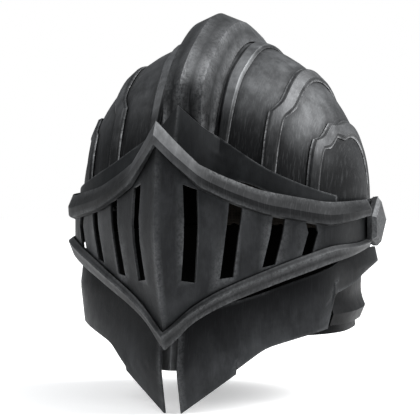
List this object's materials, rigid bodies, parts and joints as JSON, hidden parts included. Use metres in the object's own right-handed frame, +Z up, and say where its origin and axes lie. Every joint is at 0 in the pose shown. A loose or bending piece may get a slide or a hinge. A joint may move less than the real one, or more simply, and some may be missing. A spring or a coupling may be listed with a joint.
{
  "type": "knight helmet with hinged visor",
  "caption": "Close helmet of raised steel plates and ribs with a crest, a wedge-shaped visor with sight slots that lifts on side pivots, a split chin and a neck guard.",
  "frame": {"origin": "middle of the flat underside of the crown pad, where the top of the wearer's head touches it", "axes": "+Z up, the face looks along -Y, the wearer's left side is +X"},
  "size_m": [0.2432, 0.305, 0.2976],
  "materials": {
    "skull_steel": "dull worn blackened steel",
    "dark_steel": "blackened steel",
    "bright_steel": "blackened steel worn bright at the edges",
    "iron_fitting": "dark iron",
    "padded_cloth": "dark quilted linen"
  },
  "bodies": {
    "helmet": {"crest": "skull_steel", "skull_centre_plate": "skull_steel", "skull_plate_upper_left": "skull_steel", "skull_plate_lower_left": "skull_steel", "skull_side_plate_left": "skull_steel", "skull_rib_inner_left": "bright_steel", "skull_rib_middle_left": "bright_steel", "skull_rib_outer_left": "bright_steel", "visor_pivot_washer_left": "iron_fitting", "cheek_plate_left": "dark_steel", "temple_pad_left": "padded_cloth", "skull_plate_upper_right": "skull_steel", "skull_plate_lower_right": "skull_steel", "skull_side_plate_right": "skull_steel", "skull_rib_inner_right": "bright_steel", "skull_rib_middle_right": "bright_steel", "skull_rib_outer_right": "bright_steel", "visor_pivot_washer_right": "iron_fitting", "cheek_plate_right": "dark_steel", "temple_pad_right": "padded_cloth", "brow_plate": "dark_steel", "throat_plate": "dark_steel", "nape_plate": "dark_steel", "neck_collar": "dark_steel", "brow_pad": "padded_cloth", "nape_pad": "padded_cloth", "crown_pad": "padded_cloth"},
    "visor": {"visor_plate": "dark_steel", "visor_upper_rim": "bright_steel", "visor_lower_rim": "bright_steel", "visor_hinge_boss_left": "bright_steel", "visor_pivot_pin_left": "iron_fitting", "visor_pivot_nut_left": "iron_fitting", "visor_hinge_boss_right": "bright_steel", "visor_pivot_pin_right": "iron_fitting", "visor_pivot_nut_right": "iron_fitting"}
  },
  "joints": [
    {"name": "visor_hinge", "type": "hinge", "parent": "helmet", "child": "visor", "pos_m": [0, 0.024, -0.1], "axis": [-1, 0, 0], "range_deg": [0, 60]}
  ]
}
